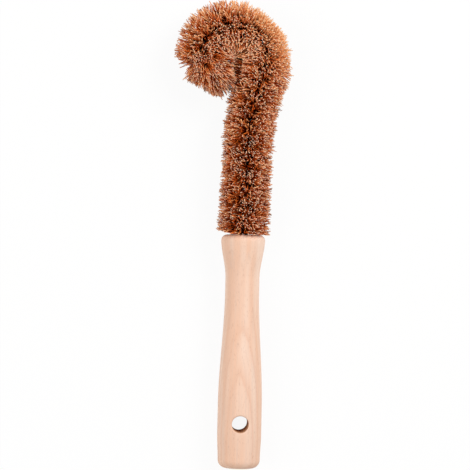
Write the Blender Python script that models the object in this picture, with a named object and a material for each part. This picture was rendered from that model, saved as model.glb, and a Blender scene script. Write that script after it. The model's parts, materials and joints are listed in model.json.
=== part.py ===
"""Bottle brush with coconut fibre bristles, a twisted wire stem and a turned beech handle.

The brush lies on a table. +Y runs along the handle towards the brush head, +X is the right-hand side
seen from above with the head pointing away, and +Z is up. All lengths are in metres and all angles
in radians. Distances along the stem are counted from the handle's top face.
"""

import math

import bmesh
import bpy
import numpy as np
from mathutils import Matrix, Vector

# Handle: one turned piece, listed from its butt end to its top face
HANDLE_LENGTH = 0.140
BUTT_END_RADIUS = 0.01265
BUTT_ROUNDING = 0.005
BUTT_SWELL_LENGTH = 0.015
BUTT_RADIUS = 0.0132
GRIP_TAPER_LENGTH = 0.068
NECK_RADIUS = 0.0102
NECK_LENGTH = 0.008
COLLAR_FLARE_LENGTH = 0.024
COLLAR_LENGTH = 0.002
COLLAR_RADIUS = 0.0132
COLLAR_ROUNDING = 0.0036
HANDLE_SIDES = 48
STATIONS_PER_BLEND = 9
STEPS_PER_ROUNDING = 5

# Hanging hole, drilled from top to bottom through the butt
HANGING_HOLE_DIAMETER = 0.010
HANGING_HOLE_FROM_BUTT = 0.027
HANGING_HOLE_SIDES = 32
HANGING_HOLE_EDGE_BREAK = 0.0004
HANGING_HOLE_EDGE_ANGLE = math.radians(62)
DRILL_OVERRUN = 0.005

# Stem: one galvanised wire, folded at the tip and twisted along its length
WIRE_DIAMETER = 0.002
TWIST_PITCH = 0.0162
UNTWIST_LENGTH = 0.004
WIRE_POINTS_PER_TURN = 12
FOLD_POINTS = 6
SOCKET_DEPTH = 0.036
SOCKET_CLEARANCE = 0.0003
SOCKET_MOUTH_CHAMFER = 0.0004
SOCKET_DRILL_POINT_LENGTH = 0.0015
WIRE_END_GAP = 0.0004

# Route of the stem's core, from the handle's top face to the end of the crook
ROOT_BEND_RADIUS = 0.150
ROOT_BEND_ANGLE = math.radians(2.1)
SHAFT_LENGTH = 0.0509
OUT_BEND_RADIUS = 0.109
OUT_BEND_ANGLE = math.radians(15.8)
BACK_BEND_RADIUS = 0.180
BACK_BEND_ANGLE = math.radians(5.0)
CROOK_RADIUS = 0.0195
CROOK_ANGLE = math.radians(171.7)
CURL_RADIUS = 0.0155
CURL_ANGLE = math.radians(51.3)

# Bristles: coconut fibres gripped between the two legs of the wire
BRISTLE_RADIUS = 0.016
BRISTLE_START = 0.0008
SECTION_COUNT = 12
SECTION_GAP = 0.0003
WEB_THICKNESS = 0.0006
WEB_HALF_WIDTH = 0.0009
WEB_CLEARANCE = 0.0004
STRAND_ROOT_WIDTH = 0.0005
STRAND_ROOT_GAP = 0.0002
STRAND_TIP_WIDTH = 0.0008
TRIM_VARIATION = 0.0012
LEAN_WAVE_ANGLE = math.radians(5)
LEAN_WAVE_LENGTH = 0.011
SWING_VARIATION = math.radians(4)
CALM_ROOT_LENGTH = 0.006
FAN_LENGTH = 0.010
FAN_ANGLE = math.radians(62)
EYE_RADIUS = 0.004
FLOOR_TRIM = 0.0005
STRAND_SEED = 7

# Finishes: name, linear colour, roughness and metallic value
BEECH = ("beech, sanded and unfinished", (0.87, 0.58, 0.43), 0.62, 0.0)
GALVANISED_STEEL = ("galvanised steel wire", (0.55, 0.56, 0.57), 0.38, 1.0)
COCONUT_FIBRE = ("coconut fibre", (0.38, 0.14, 0.06), 0.75, 0.0)

# Worked out from the sizes above
WIRE_RADIUS = WIRE_DIAMETER / 2
TWIST_RADIUS = WEB_THICKNESS / 2 + WEB_CLEARANCE + WIRE_RADIUS
SOCKET_RADIUS = TWIST_RADIUS + WIRE_RADIUS + SOCKET_CLEARANCE
COLLAR_START = HANDLE_LENGTH - COLLAR_LENGTH
FLARE_START = COLLAR_START - COLLAR_FLARE_LENGTH
NECK_START = FLARE_START - NECK_LENGTH
TAPER_START = NECK_START - GRIP_TAPER_LENGTH
STEM_RUNS = (
    (ROOT_BEND_RADIUS * ROOT_BEND_ANGLE, -1 / ROOT_BEND_RADIUS),
    (SHAFT_LENGTH, 0.0),
    (OUT_BEND_RADIUS * OUT_BEND_ANGLE, -1 / OUT_BEND_RADIUS),
    (BACK_BEND_RADIUS * BACK_BEND_ANGLE, 1 / BACK_BEND_RADIUS),
    (CROOK_RADIUS * CROOK_ANGLE, 1 / CROOK_RADIUS),
    (CURL_RADIUS * CURL_ANGLE, 1 / CURL_RADIUS),
)
STEM_LENGTH = sum(length for length, _ in STEM_RUNS)
FOLD_START = STEM_LENGTH - TWIST_RADIUS - WIRE_RADIUS
UP = Vector((0, 0, 1))


def clear_scene():
    """Remove whatever the new file holds."""
    for item in list(bpy.data.objects):
        bpy.data.objects.remove(item, do_unlink=True)


def make_material(name, color, roughness, metallic):
    """Make a Principled material of one colour."""
    material = bpy.data.materials.new(name)
    material.use_nodes = True
    shader = material.node_tree.nodes["Principled BSDF"]
    shader.inputs["Base Color"].default_value = (*color, 1.0)
    shader.inputs["Roughness"].default_value = roughness
    shader.inputs["Metallic"].default_value = metallic
    return material


def add_object(name, data, material, parent):
    """Link a mesh or curve into the scene as a named piece of the brush."""
    item = bpy.data.objects.new(name, data)
    bpy.context.collection.objects.link(item)
    data.materials.append(material)
    item.parent = parent
    return item


def mesh_from(bm, name):
    """Turn a bmesh into a mesh whose faces all point outwards."""
    bmesh.ops.recalc_face_normals(bm, faces=bm.faces)
    mesh = bpy.data.meshes.new(name)
    bm.to_mesh(mesh)
    bm.free()
    return mesh


def ease(share):
    """Go from 0 to 1 with level ends, for shares between 0 and 1."""
    share = min(max(share, 0.0), 1.0)
    return share * share * (3 - 2 * share)


# Resting attitude


def rest_tilt():
    """Angle at which the widest part of the butt and the trimmed bristles behind the collar share one floor."""
    bristle_station = HANDLE_LENGTH + BRISTLE_START
    bristle_reach = BRISTLE_RADIUS - FLOOR_TRIM
    return math.atan(min((bristle_reach - radius) / (bristle_station - station)
                         for station, radius in handle_profile()))


def rest_lift():
    """Height of the handle's axis over the floor at the butt face."""
    tilt = rest_tilt()
    return max(radius * math.cos(tilt) - station * math.sin(tilt) for station, radius in handle_profile())


def height_over_floor(point):
    """Height over the floor of a point given in the brush's own frame, once the brush lies tilted."""
    tilt = rest_tilt()
    return math.sin(tilt) * point.y + math.cos(tilt) * point.z + rest_lift()


def centre_over_origin(attitude, pieces):
    """Slide the whole brush so that the origin lies under the middle of its outline."""
    bpy.context.view_layer.update()
    corners = np.array([piece.matrix_world @ vertex.co for piece in pieces for vertex in piece.data.vertices])
    middle = (corners.min(axis=0) + corners.max(axis=0)) / 2
    attitude.location.x -= middle[0]
    attitude.location.y -= middle[1]


# Handle


def handle_radius(station):
    """Radius of the turned body: swelling butt, long taper, neck and flared collar."""
    swell = ease((station - BUTT_ROUNDING) / BUTT_SWELL_LENGTH)
    taper = ease((station - TAPER_START) / GRIP_TAPER_LENGTH)
    flare = ease((station - FLARE_START) / COLLAR_FLARE_LENGTH)
    butt = BUTT_END_RADIUS + (BUTT_RADIUS - BUTT_END_RADIUS) * swell
    return butt + (NECK_RADIUS - BUTT_RADIUS) * taper + (COLLAR_RADIUS - NECK_RADIUS) * flare


def handle_profile():
    """Half outline of the handle as (station, radius) points, from the butt's middle to the socket's end."""
    turns = [math.pi / 2 * step / STEPS_PER_ROUNDING for step in range(STEPS_PER_ROUNDING + 1)]
    profile = [(0.0, 0.0)]
    for turn in turns:
        profile.append((BUTT_ROUNDING * (1 - math.cos(turn)),
                        BUTT_END_RADIUS - BUTT_ROUNDING * (1 - math.sin(turn))))
    blends = ((BUTT_ROUNDING, BUTT_SWELL_LENGTH), (TAPER_START, GRIP_TAPER_LENGTH),
              (FLARE_START, COLLAR_FLARE_LENGTH))
    for start, length in blends:
        for step in range(STATIONS_PER_BLEND + 1):
            station = start + length * step / STATIONS_PER_BLEND
            if BUTT_ROUNDING < station < HANDLE_LENGTH - COLLAR_ROUNDING:
                profile.append((station, handle_radius(station)))
    for turn in turns:
        station = HANDLE_LENGTH - COLLAR_ROUNDING * (1 - math.sin(turn))
        profile.append((station, handle_radius(station) - COLLAR_ROUNDING * (1 - math.cos(turn))))
    profile.append((HANDLE_LENGTH, SOCKET_RADIUS + SOCKET_MOUTH_CHAMFER))
    profile.append((HANDLE_LENGTH - SOCKET_MOUTH_CHAMFER, SOCKET_RADIUS))
    profile.append((HANDLE_LENGTH - SOCKET_DEPTH, SOCKET_RADIUS))
    profile.append((HANDLE_LENGTH - SOCKET_DEPTH - SOCKET_DRILL_POINT_LENGTH, 0.0))
    return profile


def turn_handle(material, attitude):
    """Turn the handle on its axis, drill the hanging hole and break the hole's edges.

    The first outline is turned by half a side, so that the butt lies on the flat of a side.
    """
    bm = bmesh.new()
    outline = [bm.verts.new((radius, station, 0)) for station, radius in handle_profile()]
    edges = [bm.edges.new(pair) for pair in zip(outline, outline[1:])]
    half_side = Matrix.Rotation(math.pi / HANDLE_SIDES, 3, "Y")
    bmesh.ops.rotate(bm, verts=outline, cent=(0, 0, 0), matrix=half_side)
    bmesh.ops.spin(bm, geom=outline + edges, cent=(0, 0, 0), axis=(0, 1, 0), angle=2 * math.pi,
                   steps=HANDLE_SIDES, use_merge=True)
    bmesh.ops.remove_doubles(bm, verts=bm.verts, dist=SOCKET_CLEARANCE / HANDLE_SIDES)
    handle = add_object("handle", mesh_from(bm, "handle"), material, attitude)
    handle.data.shade_smooth()

    drill = bmesh.new()
    bmesh.ops.create_cone(drill, cap_ends=True, segments=HANGING_HOLE_SIDES,
                          radius1=HANGING_HOLE_DIAMETER / 2, radius2=HANGING_HOLE_DIAMETER / 2,
                          depth=2 * (BUTT_RADIUS + DRILL_OVERRUN))
    bmesh.ops.translate(drill, verts=drill.verts, vec=(0, HANGING_HOLE_FROM_BUTT, 0))
    cutter = add_object("hanging_hole_drill", mesh_from(drill, "hanging_hole_drill"), material, attitude)
    cutter.hide_render = True
    cutter.display_type = "WIRE"

    bore = handle.modifiers.new("hanging hole", "BOOLEAN")
    bore.operation = "DIFFERENCE"
    bore.solver = "EXACT"
    bore.object = cutter
    edge_break = handle.modifiers.new("broken edges", "BEVEL")
    edge_break.width = HANGING_HOLE_EDGE_BREAK
    edge_break.segments = 1
    edge_break.limit_method = "ANGLE"
    edge_break.angle_limit = HANGING_HOLE_EDGE_ANGLE
    edge_break.use_clamp_overlap = True
    return handle


# Stem


def stem_frame(distance):
    """Core point, forward direction, left-hand direction and curvature at a distance along the stem."""
    point = Vector((0, HANDLE_LENGTH, 0))
    heading = 0.0
    if distance <= 0:
        return point + Vector((0, distance, 0)), Vector((0, 1, 0)), Vector((-1, 0, 0)), 0.0
    for length, curvature in STEM_RUNS:
        step = min(distance, length)
        turned = heading + curvature * step
        if curvature:
            point.x += (math.cos(turned) - math.cos(heading)) / curvature
            point.y += (math.sin(turned) - math.sin(heading)) / curvature
        else:
            point.x -= math.sin(heading) * step
            point.y += math.cos(heading) * step
        heading = turned
        distance -= step
        if distance <= 0:
            break
    forward = Vector((-math.sin(heading), math.cos(heading), 0))
    left = Vector((-math.cos(heading), -math.sin(heading), 0))
    return point + forward * distance, forward, left, curvature


def twist_angle(distance):
    """Turn of the two legs about the core: steady, and fading out just before the fold."""
    fade_start = FOLD_START - UNTWIST_LENGTH
    share = min(max((distance - fade_start) / UNTWIST_LENGTH, 0.0), 1.0)
    faded = UNTWIST_LENGTH * (share / 2 + math.sin(math.pi * share) / (2 * math.pi))
    return 2 * math.pi * (min(distance, fade_start) + faded) / TWIST_PITCH


def twist_frame(distance):
    """Core point, forward direction, direction across the legs and direction beside them."""
    point, forward, left, _ = stem_frame(distance)
    angle = twist_angle(distance)
    across = left * math.cos(angle) + UP * math.sin(angle)
    beside = UP * math.cos(angle) - left * math.sin(angle)
    return point, forward, across, beside


def wire_route():
    """Centre line of the wire: up one leg, round the fold at the tip and down the other leg."""
    start = WIRE_END_GAP - SOCKET_DEPTH
    count = math.ceil((FOLD_START - start) * WIRE_POINTS_PER_TURN / TWIST_PITCH)
    legs = []
    for side in (1, -1):
        leg = []
        for step in range(count + 1):
            point, _, across, _ = twist_frame(start + (FOLD_START - start) * step / count)
            leg.append(point + across * side * TWIST_RADIUS)
        legs.append(leg)
    point, forward, across, _ = twist_frame(FOLD_START)
    fold = []
    for step in range(1, FOLD_POINTS):
        turn = math.pi * step / FOLD_POINTS
        fold.append(point + across * TWIST_RADIUS * math.cos(turn) + forward * TWIST_RADIUS * math.sin(turn))
    return legs[0] + fold + legs[1][::-1]


def least_wire_gap(route):
    """Least clear distance between stretches of the wire that the fold's own length keeps apart."""
    points = np.array(route)
    along = np.concatenate(([0.0], np.cumsum(np.linalg.norm(np.diff(points, axis=0), axis=1))))
    apart = np.linalg.norm(points[:, None] - points[None], axis=2)
    far = np.abs(along[:, None] - along[None]) > math.pi * TWIST_RADIUS
    return apart[far].min() - WIRE_DIAMETER


def bend_stem_wire(material, attitude):
    """Make the stem wire as one unbroken tube along its route."""
    route = wire_route()
    curve = bpy.data.curves.new("stem_wire", "CURVE")
    curve.dimensions = "3D"
    curve.bevel_depth = WIRE_RADIUS
    curve.bevel_resolution = 1
    curve.use_fill_caps = True
    spline = curve.splines.new("POLY")
    spline.points.add(len(route) - 1)
    for spline_point, position in zip(spline.points, route):
        spline_point.co = (*position, 1.0)
    wire = add_object("stem_wire", curve, material, attitude)
    print(f"least gap between the legs of the stem wire: {least_wire_gap(route):.6f} m")
    return wire


# Bristles


def section_span(index):
    """Start and end of one bristle section, as distances along the stem."""
    length = (FOLD_START - BRISTLE_START) / SECTION_COUNT
    start = BRISTLE_START + index * length
    return start + SECTION_GAP / 2, start + length - SECTION_GAP / 2


def strand_tip(distance, side, draws):
    """Tip and direction of one strand, from two random draws between -1 and 1.

    The strands stand square to the stem, sway in waves along it and fan out over its end. On the
    inner side of a bend they sway less and stop short of the middle of the crook.
    """
    point, forward, left, curvature = stem_frame(distance)
    _, _, _, beside = twist_frame(distance)
    outward = beside * side
    swing_draw, trim_draw = draws

    fan_share = max((distance - FOLD_START) / FAN_LENGTH + 1, 0.0)
    bend_inwards = max(outward.dot(left) * curvature, 0.0)
    freedom = ease((distance - BRISTLE_START) / CALM_ROOT_LENGTH)
    freedom *= max(1 - BRISTLE_RADIUS * bend_inwards, 0.0) * (1 - fan_share)
    wave = math.sin(2 * math.pi * distance / LEAN_WAVE_LENGTH + side)
    lean = FAN_ANGLE * fan_share ** 2 + LEAN_WAVE_ANGLE * wave * freedom
    direction = outward * math.cos(lean) + forward * math.sin(lean)
    direction = Matrix.Rotation(SWING_VARIATION * swing_draw * freedom, 3, forward) @ direction

    reach = BRISTLE_RADIUS
    towards_eye = direction.dot(left) * curvature
    if towards_eye > 0:
        reach = min(reach, (1 - EYE_RADIUS * curvature) / towards_eye)
    if height_over_floor(point + direction * reach) > 0:
        reach -= TRIM_VARIATION * (trim_draw + 1) / 2
    return point + direction * reach, direction


def add_strand(bm, root, corner_sides, tip, direction, forward, across):
    """Grow a four-sided strand from the four corners of its root, cut flat where it meets the floor."""
    along = (forward - direction * forward.dot(direction)).normalized()
    through = (across - direction * across.dot(direction)).normalized()
    crown = []
    for corner, (along_side, through_side) in zip(root, corner_sides):
        end = tip + (along * along_side + through * through_side) * STRAND_TIP_WIDTH / 2
        root_height = height_over_floor(corner.co)
        end_height = height_over_floor(end)
        if end_height < 0:
            end = corner.co.lerp(end, root_height / (root_height - end_height))
        crown.append(bm.verts.new(end))
    bm.faces.new(crown)
    for index in range(len(root)):
        following = (index + 1) % len(root)
        bm.faces.new((root[index], root[following], crown[following], crown[index]))


def web_row(bm, distance):
    """Four corners of the fibre web at a distance along the stem, in turn about the core."""
    point, _, across, beside = twist_frame(distance)
    width = beside * WEB_HALF_WIDTH
    depth = across * WEB_THICKNESS / 2
    return [bm.verts.new(point + place)
            for place in (width - depth, width + depth, -width + depth, -width - depth)]


def build_section(index, material, attitude, rng):
    """Make one slice of the twisted fibre web with its two rows of strands."""
    start, end = section_span(index)
    count = round((end - start) / (STRAND_ROOT_WIDTH + STRAND_ROOT_GAP))
    bm = bmesh.new()
    rows = [web_row(bm, start)]
    for step in range(count):
        middle = start + (end - start) * (step + 0.5) / count
        root = [web_row(bm, middle + edge * STRAND_ROOT_WIDTH / 2) for edge in (-1, 1)]
        rows += root
        _, forward, across, _ = twist_frame(middle)
        for side, low, high in ((1, 0, 1), (-1, 2, 3)):
            corners = (root[0][low], root[1][low], root[1][high], root[0][high])
            corner_sides = ((-1, -side), (1, -side), (1, side), (-1, side))
            tip, direction = strand_tip(middle, side, rng.uniform(-1, 1, 2))
            add_strand(bm, corners, corner_sides, tip, direction, forward, across)
    rows.append(web_row(bm, end))
    bm.faces.new(rows[0])
    bm.faces.new(rows[-1])
    for step, (row, following) in enumerate(zip(rows, rows[1:])):
        between_strands = step % 2 == 0
        for corner in range(4) if between_strands else (1, 3):
            turned = (corner + 1) % 4
            bm.faces.new((row[corner], following[corner], following[turned], row[turned]))
    name = f"bristle_section_{index + 1:02d}"
    return add_object(name, mesh_from(bm, name), material, attitude), 2 * count


def build_brush():
    """Make the materials, the resting attitude and every piece of the brush."""
    clear_scene()
    coconut = make_material(*COCONUT_FIBRE)
    attitude = bpy.data.objects.new("resting_attitude", None)
    bpy.context.collection.objects.link(attitude)
    attitude.rotation_euler = (rest_tilt(), 0, 0)
    attitude.location = (0, 0, rest_lift())

    handle = turn_handle(make_material(*BEECH), attitude)
    bend_stem_wire(make_material(*GALVANISED_STEEL), attitude)
    rng = np.random.default_rng(STRAND_SEED)
    sections = [build_section(index, coconut, attitude, rng) for index in range(SECTION_COUNT)]
    print(f"strands: {sum(strands for _, strands in sections)}")
    centre_over_origin(attitude, [handle] + [section for section, _ in sections])


build_brush()
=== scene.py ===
"""Looks of a bottle brush: turned beech handle, twisted wire stem and dense coconut fibre bristles.

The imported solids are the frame. Every new piece is worked out in the brush's own frame, in which the
handle's axis is y, its butt face is at y = 0 and the crook curls towards -x, and is then laid down by the
resting attitude that the record's butt mount gives. Lengths are in metres. Fields whose names end in
_angle are in degrees, and those whose names end in _lean are in radians. Distances along the stem are
counted from the handle's top face.
"""

import json
import logging
import math
from dataclasses import dataclass
from enum import Enum
from typing import Any

import bmesh
import bpy
import numpy as np
from mathutils import Matrix, Vector


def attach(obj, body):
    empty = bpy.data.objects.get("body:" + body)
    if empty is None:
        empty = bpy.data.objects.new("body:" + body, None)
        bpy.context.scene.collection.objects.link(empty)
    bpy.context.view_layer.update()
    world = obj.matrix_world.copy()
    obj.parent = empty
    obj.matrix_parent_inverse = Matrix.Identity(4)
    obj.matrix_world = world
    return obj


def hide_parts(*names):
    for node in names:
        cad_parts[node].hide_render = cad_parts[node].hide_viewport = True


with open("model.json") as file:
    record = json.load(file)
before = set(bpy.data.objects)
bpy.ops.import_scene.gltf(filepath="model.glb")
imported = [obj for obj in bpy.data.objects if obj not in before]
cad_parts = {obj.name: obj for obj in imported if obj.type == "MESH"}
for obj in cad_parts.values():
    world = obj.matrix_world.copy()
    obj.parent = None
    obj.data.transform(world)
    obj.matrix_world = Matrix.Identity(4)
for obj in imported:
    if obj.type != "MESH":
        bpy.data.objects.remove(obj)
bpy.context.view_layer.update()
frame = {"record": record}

Array = np.ndarray
LOG = logging.getLogger("bottle_brush")
BAKE_MAP = "OFBake"
RIGHT = np.array((1.0, 0.0, 0.0))
UP = np.array((0.0, 0.0, 1.0))
RANGE = ("From Min", "From Max", "To Min", "To Max")

# Sockets of Blender's mix node that carry colours, by number, as its sockets for numbers share their names
MIX_A, MIX_B, MIX_RESULT = 6, 7, 2

# Blender's wave texture of scale 1 turns by this many radians in a unit of length
WAVE_TEXTURE_RATE = 20


class Leg(Enum):
    """The two legs of the folded stem wire, as signs along the direction across them."""

    FIRST = 1
    SECOND = -1


class Face(Enum):
    """The two faces of the handle that the hanging hole runs through, as signs along z."""

    UPPER = 1
    LOWER = -1


# Small tools for colours, nodes and meshes


def srgb(code: str) -> tuple[float, float, float, float]:
    """Turn an sRGB hex colour into the linear colour that a shader reads.

    The curve is the sRGB standard's: a straight line near black and a power of 2.4 above it.

    Args:
        code: Six hex digits, two for each of red, green and blue.

    Returns:
        Linear red, green, blue and an alpha of 1.
    """
    shares = [int(code[place : place + 2], 16) / 255 for place in (0, 2, 4)]
    linear = [share / 12.92 if share <= 0.04045 else ((share + 0.055) / 1.055) ** 2.4 for share in shares]
    return (*linear, 1.0)


def grey(level: float) -> tuple[float, float, float, float]:
    """A linear grey of a level from 0 to 1."""
    return (level, level, level, 1.0)


def add_node(
    tree: bpy.types.NodeTree,
    kind: str,
    settings: dict[Any, Any] | None = None,
    links: dict[Any, Any] | None = None,
    stops: dict[float, Any] | None = None,
) -> bpy.types.Node:
    """Add one node with its settings and links.

    Args:
        tree: The material's node tree.
        kind: Blender's name of the node type.
        settings: Values by property name. A name that is one of the node's inputs sets that socket.
        links: Output sockets by the name or index of the input that they feed.
        stops: For a colour ramp, linear colours by their place on it, the lowest first.

    Returns:
        The new node.
    """
    node = tree.nodes.new(kind)
    for name, value in (settings or {}).items():
        if hasattr(node, str(name)):
            setattr(node, name, value)
        else:
            node.inputs[name].default_value = value
    for name, socket in (links or {}).items():
        tree.links.new(socket, node.inputs[name])
    if stops:
        elements = node.color_ramp.elements
        while len(elements) < len(stops):
            elements.new(1.0)
        for element, (place, colour) in zip(elements, stops.items()):
            element.position = place
            element.color = colour
    return node


def add_object(name: str, data: bpy.types.ID) -> bpy.types.Object:
    """Put a mesh, light or camera into the scene.

    Args:
        name: The new object's name.
        data: The mesh, light or camera.

    Returns:
        The new object.
    """
    new = bpy.data.objects.new(name, data)
    bpy.context.scene.collection.objects.link(new)
    return new


def new_material(name: str) -> tuple[bpy.types.Material, bpy.types.NodeTree, bpy.types.Node]:
    """Make a material.

    Args:
        name: What it is and how its surface was made.

    Returns:
        The material, its node tree and its Principled shader.
    """
    material = bpy.data.materials.new(name)
    material.use_nodes = True
    return material, material.node_tree, material.node_tree.nodes["Principled BSDF"]


def make_mesh(
    name: str, vertices: Array, faces: list[Array], map_places: Array | None = None
) -> bpy.types.Mesh:
    """Put whole arrays into a mesh.

    Args:
        name: The mesh's name.
        vertices: Places, of shape (count, 3).
        faces: Arrays of vertex numbers, each of shape (count, corners of a face).
        map_places: Places on the bake map, one for each face corner in the order of faces.

    Returns:
        The new mesh, shaded smooth.
    """
    corners = np.concatenate([part.ravel() for part in faces])
    sizes = np.concatenate([np.full(len(part), part.shape[1]) for part in faces])
    mesh = bpy.data.meshes.new(name)
    mesh.vertices.add(len(vertices))
    mesh.vertices.foreach_set("co", vertices.astype(np.float32).ravel())
    mesh.loops.add(len(corners))
    mesh.loops.foreach_set("vertex_index", corners.astype(np.int32))
    mesh.polygons.add(len(sizes))
    mesh.polygons.foreach_set("loop_start", (np.cumsum(sizes) - sizes).astype(np.int32))
    mesh.update(calc_edges=True)
    mesh.shade_smooth()
    if map_places is not None:
        mesh.uv_layers.new(name=BAKE_MAP).uv.foreach_set("vector", map_places.astype(np.float32).ravel())
    return mesh


def close_mesh(mesh: bpy.types.Mesh, seam: float, sharp_angle: float) -> None:
    """Merge a mesh's seams, turn its faces outwards and crease its sharp edges.

    Args:
        mesh: The mesh to finish, which is a closed shell once its seams are merged.
        seam: Vertices nearer to each other than this are merged.
        sharp_angle: Edges that fold by more than this are shaded sharp.
    """
    bm = bmesh.new()
    bm.from_mesh(mesh)
    bmesh.ops.remove_doubles(bm, verts=bm.verts, dist=seam)
    bmesh.ops.recalc_face_normals(bm, faces=bm.faces)
    bm.to_mesh(mesh)
    bm.free()
    mesh.set_sharp_from_angle(angle=math.radians(sharp_angle))


def show_piece(
    mesh: bpy.types.Mesh, material: bpy.types.Material, node: str
) -> bpy.types.Object:
    """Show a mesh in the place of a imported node.

    Args:
        mesh: The finished mesh, in the row frame.
        material: What it wears.
        node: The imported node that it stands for.

    Returns:
        The new object, riding on the brush's one body.
    """
    mesh.materials.append(material)
    piece = add_object(mesh.name, mesh)
    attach(piece, "root")
    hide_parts(node)
    LOG.info("%s: %d faces, stands for %s", piece.name, len(mesh.polygons), node)
    return piece


def ease(share: Array) -> Array:
    """Go from 0 to 1 with level ends: 3 s squared less 2 s cubed."""
    share = np.clip(share, 0.0, 1.0)
    return share * share * (3 - 2 * share)


def unit(vectors: Array) -> Array:
    """Scale vectors to a length of 1."""
    return vectors / np.linalg.norm(vectors, axis=-1, keepdims=True)


def ring_faces(rows: int, around: int) -> Array:
    """Number the quads of a grid of rows that each close on themselves.

    Args:
        rows: How many rows of vertices the grid has.
        around: How many vertices a row has.

    Returns:
        Vertex numbers of shape (quads, 4), where vertex j of row i has the number i * around + j.
    """
    row, turn = np.meshgrid(np.arange(rows - 1), np.arange(around), indexing="ij")
    after = (turn + 1) % around
    start, end = row * around, (row + 1) * around
    corners = (start + turn, start + after, end + after, end + turn)
    return np.stack(corners, axis=-1).reshape(-1, 4)


# Finishes


@dataclass(frozen=True)
class GrainLayer:
    """A colour that shows in the wood where a noise, drawn out along the grain, is high.

    The width is the noise's real size across the grain, and along it the noise is scaled by the stretch
    share. The noise place is its own cut through a four-dimensional noise. The colour comes in from the
    noise's low level to its high one, up to the strength.
    """

    colour: str
    width: float
    stretch_share: float
    detail: float
    noise_place: float
    low: float
    high: float
    strength: float


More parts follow.
